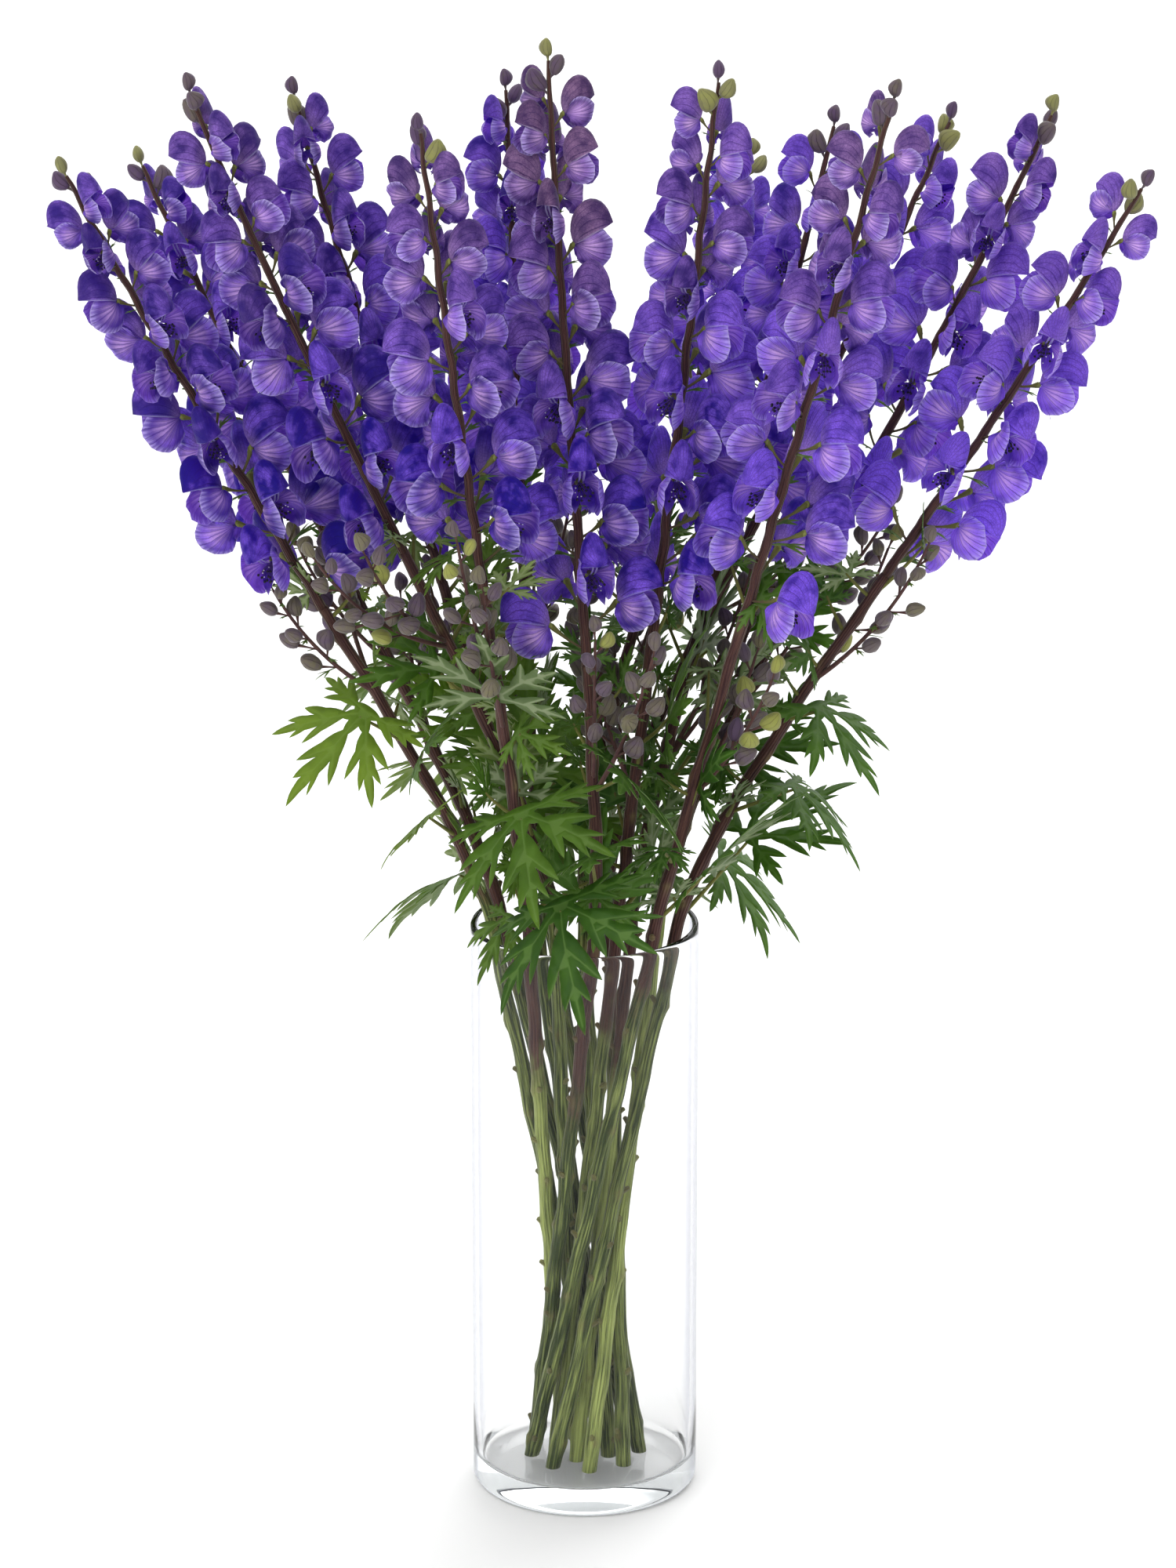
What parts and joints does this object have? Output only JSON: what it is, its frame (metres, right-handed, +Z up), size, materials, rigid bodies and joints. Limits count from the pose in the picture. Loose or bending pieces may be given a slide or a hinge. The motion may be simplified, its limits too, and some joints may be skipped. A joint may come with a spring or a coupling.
{
  "type": "monkshood in vase",
  "caption": "Bunch of cut blue-violet monkshood with leafy stems, standing in a clear straight glass cylinder vase.",
  "frame": {"origin": "centre of the vase's flat underside", "axes": "+Z up along the vase's axis, +X to the right and -Y to the front as the picture shows the bunch"},
  "size_m": [0.5575, 0.3021, 0.7911],
  "materials": {
    "glass": "gloss",
    "foliage": "satin",
    "petals": "matte"
  },
  "bodies": {
    "root": {"vase": "glass", "stem_01": "foliage", "stem_02": "foliage", "stem_03": "foliage", "stem_04": "foliage", "stem_05": "foliage", "stem_06": "foliage", "stem_07": "foliage", "stem_08": "foliage", "stem_09": "foliage", "stem_10": "foliage", "stem_11": "foliage", "stem_12": "foliage", "stem_13": "foliage", "stem_14": "foliage", "raceme_01": "petals", "raceme_02": "petals", "raceme_03": "petals", "raceme_04": "petals", "raceme_05": "petals", "raceme_06": "petals", "raceme_07": "petals", "raceme_08": "petals", "raceme_09": "petals", "raceme_10": "petals", "raceme_11": "petals", "raceme_12": "petals", "raceme_13": "petals", "raceme_14": "petals"}
  },
  "joints": []
}
